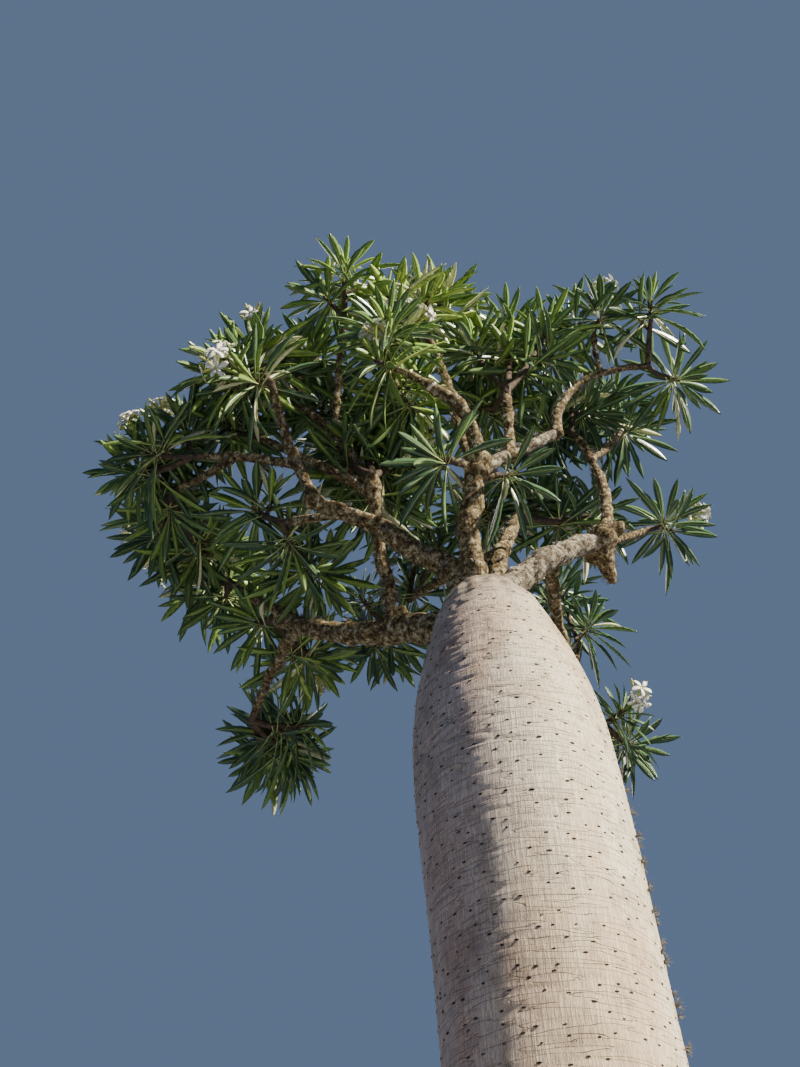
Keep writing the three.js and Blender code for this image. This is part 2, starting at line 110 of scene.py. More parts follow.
# Leaves: sizes and angles in a rosette, and stations along a leaf
LEAF_LENGTH = 296
LEAF_WIDTH = 31
LEAF_FOLD = 24
LEAF_KEEL = 2.2
MAIN_LEAVES = 29
GOLDEN_ANGLE = 137.508
YOUNG_ANGLE = 14
OLD_ANGLE = 114
ROSETTE_HEIGHT = 74
SHORTER = (1, 0.84, 0.68, 0.52)
LEAF_SEEDS = 1000
FINE_SEEDS = 2000
FLOWER_SEEDS = 3000
LEAF_STATIONS = np.array((0, 0.12, 0.26, 0.40, 0.55, 0.70, 0.83, 0.93, 1))
LEAF_OUTLINE = np.array((0.15, 0.17, 0.46, 0.78, 0.98, 1.0, 0.76, 0.37, 0.02))
LEAF_SECTION = ((-1, 1, 0), (0, 0, 0), (1, 1, 0), (0, 0, -1))
RIB_STATIONS = np.array((0, 2, 3, 4, 5, 7))
RIB_WIDTH = np.array((4.4, 3.0, 2.4, 2.0, 1.6, 0.9))

# Leaf tones, each with its upper limit of brightness. The brightness is partly painted sunlight and partly
# random tone, and the pale tone is painted glints of sun
TONE_LIMITS = (("deep", 0.24), ("green", 0.5), ("fresh", 0.82), ("lime", 1.5), ("pale", 9.0))
PAINTED_GLINT_BRIGHTNESS = 2.0
PAINTED_GLINT_CHANCE = 0.03
PAINTED_GLINT_SUN_CHANCE = 0.075

# Room for leaves and twigs: places tested along a leaf, clearances, and rows of wood
LEAF_TESTS = np.array((0.3, 0.5, 0.7, 0.85, 1.0))
LEAF_ROOM = 7
TWIG_ROOM = 8
REACH_ROOM = 4
WOOD_STEP = 25
WOOD_HEIGHTS = (3000.0, 4170.0)
WOOD_SEARCH = 330

# Twigs: side and fine ones with their place, spread, length, share of the width and leaves
TURN_UP = 0.8
WANDER = 3
THICKEST_TWIG = 20
STEM_SHARE = 0.95
SHOOT_SHARE = 0.86
LONG_SHOOT = 300
SIDE_TWIG = ((0.5, 0.72), (40, 65), (90, 150), 0.7, 20)
FINE_SHOOT = 190
FINE_TWIG = ((0.35, 0.8), (45, 75), (60, 110), 0.6, 15)
TWIG_SINK = 12
TWIG_TAPER = 0.88
TWIG_RINGS = (30, 60)
TWIG_SWELL = (0.05, 0.2)

# Blossom: stalk, flowers in a head, tubes and petals
STALK_LENGTH = 205
STALK_SHARE = 0.68
FEWEST_FLOWERS = 6
MORE_FLOWERS = 4
FLOWER_SPREAD = (30, 75)
FLOWER_REACH = (48, 78)
BUD_CHANCE = 0.16
TUBE_WIDTHS = (2.6, 3.4, 5.6, 7.5)
PETALS = 5
PETAL_LENGTH = 44
PETAL_WIDTH = 25
PETAL_SCALE = (0.85, 1.08)
PETAL_ROWS = ((0, 0.2, 0), (0.3, 0.42, 0.08), (0.62, 0.5, 0.2), (0.88, 0.36, 0.3), (1, 0.1, 0.34))

# Spines: where they start along the limb, shortest, longest, spacing and how many around
THICK_LIMB = 35
OLD_SPINES = (0.12, 9, 17, 22.0, 5)
YOUNG_SPINES = (0.12, 10, 20, 15.0, 5)
TWIG_SPINES = (0.45, 11, 18, 17.0, 4)
SPINE_WIDTH = 1.5
BURL_SPINES = 26
BURL_SPINE_LENGTH = (16, 32)
BURL_SPINE_WIDTH = 1.8

# Lichen tufts on the boughs, and on the trunk: how many, from where, over what height
TUFT_HAIRS = 13
TUFT_WIDTHS = (1.7, 1.3, 0.5)
TUFT_SPACING = 34
SHAGGY_LIMBS = ("right", "front_right", "back", "riser")
SHAGGY_SHARE = 0.85
BARE_SHARE = 0.4
TRUNK_TUFTS = (46, 2350, 1080)

# Plain finishes: colour, roughness, specular, waves a metre, bump and spread of the colour
FINISHES = {
    # Leaf tones: the lighter ones carry painted sunlight as well as random tone.
    "leaf_deep": ((78, 106, 70), 0.3, 0.45),
    "leaf_green": ((102, 132, 72), 0.3, 0.45),
    "leaf_fresh": ((128, 158, 70), 0.32, 0.45),
    "leaf_lime": ((168, 190, 92), 0.34, 0.45),
    # leaf_pale is painted glints of sun on leaves.
    "leaf_pale": ((224, 222, 172), 0.36, 0.5),
    "leaf_midrib": ((206, 212, 132), 0.42),
    "petal": ((255, 250, 230), 0.5, 0.5, 60, 0.0008, 0.02),
    "flower_tube": ((196, 196, 104), 0.5),
    "flower_stalk": ((132, 142, 72), 0.6),
    "twig_bark": ((86, 72, 58), 0.82, 0.22, 70, 0.003, 0.45),
    "spines": ((132, 118, 98), 0.7, 0.3, 40, 0.0004),
    "scars": ((62, 52, 46), 0.85, 0.2, 120, 0.001, 0.3),
    "lichen": ((128, 126, 122), 0.9, 0.15, 80, 0.001, 0.3),
    "stub_wood": ((214, 200, 172), 0.7),
    "stub_heart": ((138, 62, 44), 0.7),
}

# Bark of the boughs: four colours of the patches, then the darkest and lightest speckle
BROWN_BARK = ((70, 56, 37), (120, 102, 70), (164, 147, 108), (216, 207, 174), (104, 92, 73), (252, 248, 236))
GREY_BARK = ((86, 76, 60), (138, 126, 105), (182, 173, 152), (214, 208, 190), (112, 101, 85), (252, 248, 240))

# Camera, in metres, degrees and the photograph's pixels. Lights with strength and angle
CAMERA_PLACE = (-0.5, -2.7, 1.5)
CAMERA_PITCH = 48
FOCAL_LENGTH = 1079
PHOTO_HEIGHT = 1067
SENSOR = 36.0
FLOOR_REACH = 3200
WORLD_STRENGTH = 0.33
SUNS = (
    ("key", (0.74, -0.46, 0.66), 12.5, 3, (1.0, 0.93, 0.82)),
    ("fill", (-0.4, -0.8, 0.3), 0.1, 40, (0.9, 0.92, 1.0)),
    ("rim", (-0.2, 0.8, 0.9), 0.8, 30, (1.0, 0.97, 0.9)),
)

# Boughs: name, parent, place along it, tip (bearing, reach, height), bow (side, up), radii
LIMBS = (
    ("low_left", "trunk", 4040, (145, 950, 4570), (0, -100), (66, 30)),
    ("left", "trunk", 4070, (188, 624, 4588), (10, 185), (54, 27)),
    ("right", "trunk", 4060, (15, 526, 4610), (30, 130), (58, 38)),
    ("front", "trunk", 4070, (272, 221, 4650), (95, 20), (44, 38)),
    ("back", "trunk", 4070, (58, 400, 4960), (0, 60), (42, 24)),
    ("trailing_left", "low_left", 0.88, (131, 1405, 4504), (-20, 0), (27, 18)),
    ("left_back", "low_left", 0.8, (148, 1190, 4860), (0, -30), (24, 16)),
    ("low_left_back", "low_left", 0.52, (112, 955, 4863), (0, -60), (26, 16)),
    ("riser", "low_left", 0.38, (189, 395, 4705), (30, 30), (28, 23)),
    ("inner_left", "riser", 0.93, (179, 861, 5105), (0, 20), (21, 15)),
    ("upper_left", "riser", 0.9, (182, 703, 5276), (90, 150), (20, 15)),
    ("top_left", "upper_left", 0.72, (206, 590, 5560), (0, -20), (17, 14)),
    ("left_riser", "left", 0.97, (198, 826, 5050), (70, 40), (24, 16)),
    ("left_reach", "left_riser", 0.36, (181, 1071, 4944), (0, 40), (20, 15)),
    ("left_reach_low", "left_reach", 0.68, (172, 1223, 4971), (0, -30), (16, 14)),
    ("left_under", "left", 0.84, (176, 715, 4620), (-20, -30), (20, 16)),
    ("stub", "front", 0.95, (247, 437, 4880), (-100, 80), (30, 23)),
    ("front_left", "stub", 0.6, (232, 490, 5020), (0, 40), (19, 14)),
    ("top", "front", 0.9, (236, 300, 5480), (40, 60), (24, 16)),
    ("front_right", "front", 0.96, (345, 372, 5006), (0, -20), (30, 20)),
    ("right_upper", "front_right", 0.96, (359, 785, 5602), (0, 230), (20, 14)),
    ("right_upper_side", "right_upper", 0.72, (349, 599, 5701), (0, 10), (14, 12)),
    ("centre", "front_right", 0.36, (311, 232, 5148), (0, 20), (24, 18)),
    ("front_twig_left", "front", 0.93, (253, 279, 4592), (0, 10), (17, 14)),
    ("front_twig_right", "front", 0.9, (295, 163, 4661), (0, -10), (18, 14)),
    ("right_riser", "right", 0.97, (24, 552, 5400), (140, -40), (28, 16)),
    ("right_side", "right_riser", 0.78, (26, 832, 5598), (0, -30), (15, 13)),
    ("right_reach", "right", 0.96, (32, 949, 5075), (20, -30), (20, 14)),
    ("right_back", "right", 0.6, (64, 1500, 4690), (-100, -60), (28, 18)),
    ("right_back_side", "right_back", 0.66, (64, 1288, 5000), (0, -20), (16, 13)),
    ("back_left", "back", 0.55, (104, 900, 5030), (0, 30), (24, 15)),
    ("far_back", "back_left", 0.5, (86, 1180, 4830), (0, -40), (20, 14)),
)
PALE_LIMBS = ("right", "front_right")
RADII = {limb: pair for limb, *_, pair in LIMBS}

# Masses: bough, seed, stem, shoots (bearing, rise, length), blossoms (shoot, bearing, rise), painted sunlight
# that lightens the leaf tones
MASSES = (
    ("trailing_left", 11, 60, ((15, -15, 260), (75, 10, 300), (65, -10, 440), (80, 0, 540)), (), 0.2),
    ("low_left", 12, 50, ((70, 0, 450), (115, 25, 250)), ((0, 80, 0),), 0.4),
    ("low_left_back", 13, 60, ((115, -30, 180), (75, 5, 240), (230, -15, 190)), (), 0.2),
    ("left_back", 14, 60, ((100, -15, 160), (120, 50, 350), (135, 20, 300)), ((2, 180, 20),), 0.35),
    ("inner_left", 15, 60, ((155, 30, 240), (125, 60, 470)), (), 0.35),
    ("upper_left", 16, 40, ((130, 85, 250), (75, 80, 530), (60, 25, 410)), ((0, 140, 60),), 0.4),
    ("top_left", 17, 40, ((270, 50, 230), (185, 50, 170)), (), 0.6),
    ("left_riser", 18, 40, ((175, 0, 100), (130, 65, 430), (145, 35, 410)),
     ((1, 255, 45), (0, 210, 0), (0, 210, 35)), 0.4),
    ("left_reach", 19, 60, ((170, 0, 220), (135, 65, 270), (150, -5, 360)),
     ((0, 210, 50), (1, 200, 35), (1, 180, 65)), 0.3),
    ("left_reach_low", 20, 50, ((95, -35, 140), (105, -5, 440), (80, -10, 500)),
     ((1, 120, 10), (1, 170, 20)), 0.35),
    ("left_under", 21, 40, ((145, 40, 260), (65, -50, 130), (70, -5, 480)), (), 0.3),
    ("front_left", 22, 40, ((210, -30, 50), (90, 80, 330), (80, 15, 430)),
     ((0, 250, 75), (1, 330, 70), (1, 0, 55), (1, 0, 30)), 0.5),
    ("top", 23, 60, ((95, 85, 270), (200, 30, 220), (50, 60, 430)), (), 0.62),
    ("right_upper", 24, 50, ((270, 25, 300), (40, 10, 300)), (), 0.12),
    ("right_upper_side", 25, 40, ((335, 50, 120), (145, 40, 160)), ((0, 290, 75), (0, 30, 70)), 0.1),
    ("centre", 26, 40, ((130, 65, 540), (15, 60, 560), (100, 30, 440), (65, 75, 680)),
     ((1, 10, 55),), 0.3),
    ("front_twig_left", 27, 30, ((140, 20, 70),), (), 0.15),
    ("front_twig_right", 28, 20, ((20, 10, 90),), (), 0.0),
    ("right_riser", 29, 50, ((50, 70, 350), (110, 50, 380)), (), 0.08),
    ("right_side", 30, 50, ((55, 40, 160), (120, 75, 310)), (), 0.05),
    ("right_reach", 31, 60, ((35, 35, 250),), ((0, 0, 15),), -0.1),
    ("right_back", 32, 60, ((315, -15, 120), (45, -30, 240)), ((0, 290, -5),), -0.1),
    ("right_back_side", 33, 50, ((350, 40, 120), (105, 75, 480)), (), -0.05),
    ("back", 34, 60, ((115, 40, 460), (65, 50, 540), (30, 15, 570)), (), 0.15),
    ("back_left", 35, 60, ((65, 50, 140), (310, 25, 300), (285, 60, 440)), (), 0.25),
    ("far_back", 36, 60, ((150, -60, 90), (60, -25, 350)), (), 0.15),
    ("riser", 37, 40, ((125, 50, 540), (60, 55, 480), (90, 25, 500), (100, 60, 740)), (), 0.3),
)


class Draws:
    """Seeded draws from 0 to 1, the same for the same seed."""

    def __init__(self, seed):
        self.state = (seed * 2654435761) % 2**32

    def next(self):
        self.state = (1664525 * self.state + 1013904223) % 2**32
        return self.state / 2**32

    def between(self, low, high):
        return low + (high - low) * self.next()


def unit(vector):
    return vector / np.linalg.norm(vector)


def aimed(bearing, rise):
    """A direction from its bearing and its rise above level."""
    b, r = radians(bearing), radians(rise)
    return np.array((cos(r) * cos(b), cos(r) * sin(b), sin(r)))


def square_to(heading):
    """Two directions square to a heading: level to the right of it, and the upper one."""
    side = np.cross(heading, UP)
    if np.linalg.norm(side) < 0.05:
        side = np.array((1.0, 0.0, 0.0))
    side = unit(side)
    return side, unit(np.cross(side, heading))


def outward(heading, angle):
    """A direction square to a heading, at an angle round it."""
    side, lift = square_to(heading)
    return side * cos(angle) + lift * sin(angle)


def turned(heading, spread, roll):
    """A heading turned away from itself by spread, in the direction that roll gives."""
    s = radians(spread)
    return heading * cos(s) + outward(heading, radians(roll)) * sin(s)


class Bend:
    """A curve from start to end by way of a middle point."""

    def __init__(self, start, middle, end):
        self.start, self.middle, self.end = start, middle, end

    def point(self, t):
        return (1 - t) ** 2 * self.start + 2 * (1 - t) * t * self.middle + t * t * self.end

    def heading(self, t):
        return unit((1 - t) * (self.middle - self.start) + t * (self.end - self.middle))

    def length(self):
        spots = [self.point(t) for t in np.linspace(0, 1, 17)]
        return sum(np.linalg.norm(b - a) for a, b in zip(spots, spots[1:]))


class Gnarl:
    """A limb or twig that wanders about its curve and swells into rings."""

    def __init__(self, curve, pair, seed, rings, swell):
        self.reach = curve.length()
        self.shares = np.linspace(0, 1, max(8, int(self.reach / GNARL_STEP)) + 1)
        draws = Draws(seed)
        along = self.shares * self.reach
        place = along / GNARL_WAVE + draws.between(0, 60)
        level = np.zeros(len(along))
        ways = [noise(np.stack([place, level + n, level], 1), 31) - 0.5 for n in (1.1, 5.7)]
        base = np.array([limb_radius(pair, t) for t in self.shares])
        room = base * GNARL_ROOM * np.sqrt(np.sin(pi * self.shares).clip(0, 1))
        spots = []
        for t, a, b, width in zip(self.shares, *ways, room):
            side, lift = square_to(curve.heading(t))
            spots.append(curve.point(t) + side * a * width + lift * b * width)
        self.spots = np.array(spots)
        girth = np.ones(len(along))
        at = draws.between(20, rings[1])
        while at < self.reach:
            girth += draws.between(*swell) * np.exp(-((along - at) / draws.between(10, 24)) ** 2)
            at += draws.between(*rings)
        self.widths = base * girth * 0.95

    def at(self, values, t):
        place = min(max(t, 0.0), 1.0) * (len(self.shares) - 1)
        i = min(int(place), len(self.shares) - 2)
        return values[i] + (values[i + 1] - values[i]) * (place - i)

    def point(self, t):
        return self.at(self.spots, t)

    def width(self, t):
        return self.at(self.widths, t)

    def heading(self, t):
        return unit(self.point(t + 0.02) - self.point(t - 0.02))


def lean_at(height):
    return -height * (LEAN + LEAN_GROWTH * height)


def trunk_axis(height):
    return np.array((lean_at(height), 0.0, height))


def limb_curves():
    """The middle line of every limb, from its parent's middle line to its tip."""
    curves = {}
    for name, parent, at, (bearing, reach, height), (aside, upward), _ in LIMBS:
        root = trunk_axis(at) if parent == "trunk" else curves[parent].point(at)
        tip = np.array((*FORK, height)) + aimed(bearing, 0) * reach
        side, lift = square_to(unit(tip - root))
        curves[name] = Bend(root, (root + tip) / 2 + side * aside + lift * upward, tip)
    return curves


def limb_radius(radii, t):
    return (radii[0] + (radii[1] - radii[0]) * t) * (1 + COLLAR * max(0, 1 - t / COLLAR_LENGTH) ** 2)


def shoot_curve(start, heading, length):
    """Straight out of its fork and then turned up."""
    bend = start + heading * length / 2
    return Bend(start, bend, bend + unit(heading + UP * TURN_UP) * length / 2)


def branch(mass, curves):
    """Stem and shoots of one mass by the part's rule, then finer twigs from seeds of their own."""
    name, seed, stem, shoots, _, _ = mass
    draws = Draws(seed)
    heading = curves[name].heading(1)
    radius = min(RADII[name][1], THICKEST_TWIG) * STEM_SHARE
    start = curves[name].point(1)
    fork = start + heading * stem

    def twig(curve, source, place, spread, length, share, leaves):
        at = source.between(*place)
        lean = source.between(*spread)
        out = turned(curve.heading(at), lean, source.between(0, 360))
        return shoot_curve(curve.point(at), out, source.between(*length)), radius * share, leaves

    main, sides, fine = [], [], []
    for bearing, rise, length in shoots:
        aim = aimed(bearing + draws.between(-WANDER, WANDER), rise + draws.between(-WANDER, WANDER))
        curve = shoot_curve(fork, aim, length)
        main.append((curve, radius * SHOOT_SHARE, MAIN_LEAVES))
        if length > LONG_SHOOT:
            sides.append(twig(curve, draws, *SIDE_TWIG))
    finer = Draws(seed + FINE_SEEDS)
    for (_, _, length), (curve, _, _) in zip(shoots, main):
        for _ in range(int(length > FINE_SHOOT) + int(length > LONG_SHOOT)):
            fine.append(twig(curve, finer, *FINE_TWIG))
    return Bend(start - heading * TWIG_SINK, (start + fork) / 2, fork), radius, main, sides, fine


def lattice(ix, iy, iz, seed):
    """A fixed value from 0 to 1 for each whole place."""
    n = (ix * 374761393 + iy * 668265263 + iz * 1103515245 + seed * 1274126177) & 0xFFFFFFFF
    n = ((n ^ (n >> 13)) * 1274126177) & 0xFFFFFFFF
    return (n ^ (n >> 16)) / 4294967295.0


def noise(places, seed):
    """Smooth noise from 0 to 1 at places a unit apart."""
    base = np.floor(places).astype(np.int64)
    part = places - base
    part = part * part * (3 - 2 * part)
    total = np.zeros(len(places))
    for corner in range(8):
        step = np.array((corner & 1, (corner >> 1) & 1, corner >> 2))
        total += np.where(step, part, 1 - part).prod(1) * lattice(*(base + step).T, seed)
    return total


def trunk_width(height):
    """A soft curve through the trunk's profile."""
    x, y = np.array(TRUNK_PROFILE, float).T
    slope = np.gradient(y, x)
    i = np.clip(np.searchsorted(x, height) - 1, 0, len(x) - 2)
    span = x[i + 1] - x[i]
    t = (height - x[i]) / span
    return ((1 + 2 * t) * (1 - t) ** 2 * y[i] + t * (1 - t) ** 2 * span * slope[i]
            + t * t * (3 - 2 * t) * y[i + 1] + t * t * (t - 1) * span * slope[i + 1])


def placed(name, data):
    """A new object in the scene."""
    obj = bpy.data.objects.new(name, data)
    bpy.context.scene.collection.objects.link(obj)
    return obj


def mesh_object(name, points, faces, material, smooth=True):
    """A mesh from points in millimetres."""
    mesh = bpy.data.meshes.new(name)
    mesh.from_pydata((np.asarray(points) * MM).tolist(), [], [list(map(int, f)) for f in faces])
    mesh.update()
    if smooth:
        mesh.shade_smooth()
    mesh.materials.append(material)
    return placed(name, mesh)


class Pile:
    """Small meshes gathered into one."""

    def __init__(self):
        self.points, self.faces, self.count = [], [], 0

    def add(self, points, faces):
        self.points.append(np.asarray(points, float))
        self.faces.extend((np.asarray(f) + self.count).tolist() for f in faces)
        self.count += len(points)

    def tube(self, spots, widths, sides):
        """A closed tube through spots, with rings turned as little as possible."""
        last = len(spots) - 1
        headings = [unit(spots[min(i + 1, last)] - spots[max(i - 1, 0)]) for i in range(last + 1)]
        side = square_to(headings[0])[0]
        angles = np.linspace(0, 2 * pi, sides, endpoint=False)
        rings = []
        for spot, heading, width in zip(spots, headings, widths):
            side = unit(side - heading * side.dot(heading))
            lift = np.cross(side, heading)
            rings.append(spot + width * (np.outer(np.cos(angles), side) + np.outer(np.sin(angles), lift)))
        pairs = [(i, (i + 1) % sides) for i in range(sides)]
        end = last * sides
        faces = [[a + i, a + sides + i, a + sides + j, a + j]
                 for a in range(0, end, sides) for i, j in pairs]
        middle = end + sides
        for i, j in pairs:
            faces += [[middle, i, j], [middle + 1, end + j, end + i]]
        self.add(np.concatenate(rings + [[spots[0]], [spots[-1]]]), faces)

    def spike(self, root, tip, width):
        """A three-sided thorn."""
        heading = unit(tip - root)
        ring = [root + width * outward(heading, angle) for angle in (0.0, 2.1, 4.2)]
        self.add(ring + [tip], [[0, 3, 1], [1, 3, 2], [2, 3, 0], [0, 1, 2]])

    def ball(self, centre, radii, axis, rings, sides):
        """A closed round body along an axis, with its radius across and along."""
        angles = [pi * (0.03 + 0.94 * k / rings) for k in range(rings + 1)]
        spots = [centre - axis * radii[1] * cos(angle) for angle in angles]
        self.tube(spots, [radii[0] * sin(angle) for angle in angles], sides)

    def object(self, name, material, smooth=True):
        return mesh_object(name, np.concatenate(self.points), self.faces, material, smooth)


def linear(*colour):
    """A colour as seen on a screen, 0 to 255, as the shader takes it."""
    shares = [value / 255 for value in colour]
    return *[c / 12.92 if c <= 0.04045 else ((c + 0.055) / 1.055) ** 2.4 for c in shares], 1.0


def tones(*rows):
    """Stops of a ramp, from places with colours as seen on a screen."""
    return [(place, linear(*colour)) for place, *colour in rows]


class Finish:
    """A node material: colours mixed by noise, with a bump from noise."""

    def __init__(self, name, roughness, specular=0.5):
        self.material = bpy.data.materials.new(name)
        self.material.use_nodes = True
        self.tree = self.material.node_tree
        self.shader = self.tree.nodes["Principled BSDF"]
        self.shader.inputs["Roughness"].default_value = roughness
        self.shader.inputs["Specular IOR Level"].default_value = specular
        self.coordinates = self.tree.nodes.new("ShaderNodeTexCoord").outputs["Object"]

    def feed(self, socket, value):
        """A link from another socket, or a plain value."""
        if isinstance(value, bpy.types.NodeSocket):
            self.tree.links.new(value, socket)
        else:
            socket.default_value = value

    def node(self, kind, inputs):
        node = self.tree.nodes.new(kind)
        for name, value in inputs.items():
            self.feed(node.inputs[name], value)
        return node

    def grain(self, waves, detail=4.0, roughness=0.55):
        """Noise with so many waves a metre, along each axis or all alike."""
        scale = waves if isinstance(waves, tuple) else (waves,) * 3
        mapping = self.node("ShaderNodeMapping", {"Scale": scale, "Vector": self.coordinates})
        texture = self.node("ShaderNodeTexNoise", {
            "Scale": 1.0, "Detail": detail, "Roughness": roughness, "Vector": mapping.outputs["Vector"]})
        return texture.outputs["Fac"]

    def ramp(self, factor, stops):
        """Colours at places along a factor."""
        node = self.node("ShaderNodeValToRGB", {"Fac": factor})
        elements = node.color_ramp.elements
        while len(elements) < len(stops):
            elements.new(0.5)
        for element, stop in zip(elements, stops):
            element.position, element.color = stop
        return node.outputs["Color"]

    def mix(self, factor, a, b, blend="MIX"):
        node = self.node("ShaderNodeMix", {})
        node.data_type = "RGBA"
        node.blend_type = blend
        for place, value in ((0, factor), (6, a), (7, b)):
            self.feed(node.inputs[place], value)
        return node.outputs[2]

    def along(self, axis, low, high):
        """From 0 to 1 between two places on one axis of the object."""
        split = self.node("ShaderNodeSeparateXYZ", {"Vector": self.coordinates})
        node = self.node("ShaderNodeMapRange", {
            "From Min": low, "From Max": high, "Value": split.outputs[axis]})
        return node.outputs["Result"]

    def colour(self, source):
        self.feed(self.shader.inputs["Base Color"], source)

    def bump(self, factor, distance, strength=1.0, under=None):
        node = self.node("ShaderNodeBump", {"Distance": distance, "Strength": strength, "Height": factor})
        if under is not None:
            self.feed(node.inputs["Normal"], under)
        self.feed(self.shader.inputs["Normal"], node.outputs["Normal"])
        return node.outputs["Normal"]


def trunk_finish():
    """Cream to beige bark with upright hairlines and level cracks. Painted shade darkens the cracks most on
    the left, greys the whole left side and darkens the top under the crown.
    """
    finish = Finish("trunk_bark", 0.6, 0.35)
    white = (255, 255, 255)
    base = finish.ramp(finish.grain((2.4, 2.4, 1.1), 5), tones(
        (0.32, 204, 176, 144), (0.44, 235, 211, 170), (0.56, 252, 238, 202), (0.70, 227, 197, 158)))
    grey = finish.ramp(finish.grain((9, 9, 7), 4, 0.6), tones((0.50, *white), (0.66, 186, 182, 184)))
    colour = finish.mix(0.5, base, grey, "MULTIPLY")
    hair = finish.grain((150, 150, 9), 4, 0.72)
    hairline = finish.ramp(hair, tones(
        (0.36, 206, 196, 190), (0.45, *white), (0.50, 138, 124, 114), (0.55, *white)))
    colour = finish.mix(0.7, colour, hairline, "MULTIPLY")
    # Level cracks: their bump is relief, and their dark colour is painted shade in the creases, strongest on
    # the shaded left side.
    creases_and_painted_shade = finish.ramp(finish.grain((6, 6, 64), 1, 0.4), tones(
        (0.465, *white), (0.486, 110, 94, 84), (0.498, 130, 114, 102), (0.512, *white)))
    painted_crease_shade_share = finish.ramp(finish.along(0, 0.04, -0.36), tones((0.0, 38, 38, 38), (1.0, 116, 116, 116)))
    colour = finish.mix(painted_crease_shade_share, colour, creases_and_painted_shade, "MULTIPLY")
    # Painted shade: the left side, away from the key light, is darkened and turned bluer.
    painted_shade_left = finish.mix(1.0, colour, linear(204, 196, 216), "MULTIPLY")
    colour = finish.mix(finish.along(0, -0.06, -0.32), colour, painted_shade_left)
    # Painted shade under the crown: the top of the trunk turns a darker grey-brown.
    top = finish.ramp(finish.grain(26, 5, 0.66), tones(
        (0.40, 96, 82, 66), (0.52, 146, 130, 108), (0.62, 186, 172, 148)))
    finish.colour(finish.mix(finish.along(2, 3.95, 4.16), colour, top))
    finish.bump(creases_and_painted_shade, 0.0036, 1.0, finish.bump(hair, 0.0045))
    return finish.material


def bough_finish(name, colours):
    """Patches of four colours under a fine speckle, on rough bark."""
    finish = Finish(name, 0.88, 0.2)
    *rows, dark, light = colours
    patches = finish.ramp(finish.grain(44, 6, 0.7), tones(
        *[(place, *colour) for place, colour in zip((0.38, 0.47, 0.54, 0.61), rows)]))
    speckle = finish.ramp(finish.grain(130, 4, 0.75), tones(
        (0.38, *dark), (0.50, 214, 208, 198), (0.62, *light)))
    finish.colour(finish.mix(0.85, patches, speckle, "MULTIPLY"))
    finish.bump(finish.grain(260, 3, 0.7), 0.002, 0.8, finish.bump(finish.grain(60, 6, 0.7), 0.009))
    return finish.material


def plain_finish(name, colour, roughness, specular=0.5, waves=90, depth=0.0008, spread=0.16):
    """One base colour that varies a little, with a fine bump."""
    finish = Finish(name, roughness, specular)
    base = linear(*colour)[:3]
    dark, light = (tuple(min(1.0, c * (1 + way * spread)) for c in base) + (1.0,) for way in (-1, 1))
    finish.colour(finish.ramp(finish.grain(waves, 3), ((0.35, dark), (0.65, light))))
    finish.bump(finish.grain(waves * 3, 2), depth, 0.6)
    return finish.material


def trunk_radius(bearing, height):
    """The trunk's radius at bearings and heights, before its relief."""
    flare = FLARE_DEPTH * np.exp(-height / FLARE_HEIGHT)
    return trunk_width(height) / 2 * (1 + flare * np.cos(FLARE_LOBES * bearing))


def bark_noise(bearing, height, turns, step, seed):
    """Noise on the trunk, finer round it with more turns and taller with a longer step."""
    places = [np.cos(bearing) * turns + 9, np.sin(bearing) * turns + 9, height / step]
    return noise(np.stack(places, 1), seed)


def trunk_relief(bearing, height):
    """How far the bark stands out: swellings and level creases, deep on the left and the shoulder."""
    swell = bark_noise(bearing, height, 1.4, 420, 5) - 0.5
    level = height + BAND_SWAY * (bark_noise(bearing, height, 2, 260, 9) - 0.5)
    bands = bark_noise(bearing, level, 2.2, 17, 6)
    fine = bark_noise(bearing, level, 4, 13, 7) - 0.5
    where = bark_noise(bearing, height, 1.5, 300, 8)
    lumps = bark_noise(bearing, height, 6, 60, 10) - 0.5
    left = np.clip(0.5 - 0.7 * np.cos(bearing), 0, 1)
    shoulder = np.exp(-((height - SHOULDER_HEIGHT) / SHOULDER_SPAN) ** 2)
    rough = np.clip((height - LUMPS_FROM) / LUMPS_SPAN, 0, 1)
    depth = 0.5 + 2.6 * np.clip(where - 0.45, 0, 1) + left * (2.2 + 3.2 * shoulder) + 1.2 * shoulder
    crease = -np.clip(1 - np.abs(bands - 0.5) / CREASE_WIDTH, 0, 1)
    return SWELL_DEPTH * swell + depth * (0.9 * crease + 0.55 * fine) + LUMP_DEPTH * rough * lumps


def trunk_spots(bearing, height, out=0):
    radius = trunk_radius(bearing, height) + trunk_relief(bearing, height) + out
    return np.stack([lean_at(height) + radius * np.cos(bearing), radius * np.sin(bearing), height], 1)


def make_trunk(material):
    """The trunk's skin with its relief, closed below and above."""
    top = TRUNK_PROFILE[-1][0]
    rows = int(top / TRUNK_ROW) + 1
    n = TRUNK_COLUMNS
    b, h = np.meshgrid(np.linspace(0, 2 * pi, n, endpoint=False), np.linspace(0, top, rows))
    points = trunk_spots(b.ravel(), h.ravel())
    points = np.concatenate([points, [trunk_axis(0)], [trunk_axis(top + 3)]])
    i = np.arange(n)
    j = (i + 1) % n
    last = (rows - 1) * n
    faces = []
    for a in range(0, last, n):
        faces.extend(np.stack([a + i, a + j, a + n + j, a + n + i], 1).tolist())
    faces.extend(np.stack([np.full_like(i, len(points) - 2), j, i], 1).tolist())
    faces.extend(np.stack([np.full_like(i, len(points) - 1), last + i, last + j], 1).tolist())
    return mesh_object("trunk_relief", points, faces, material)


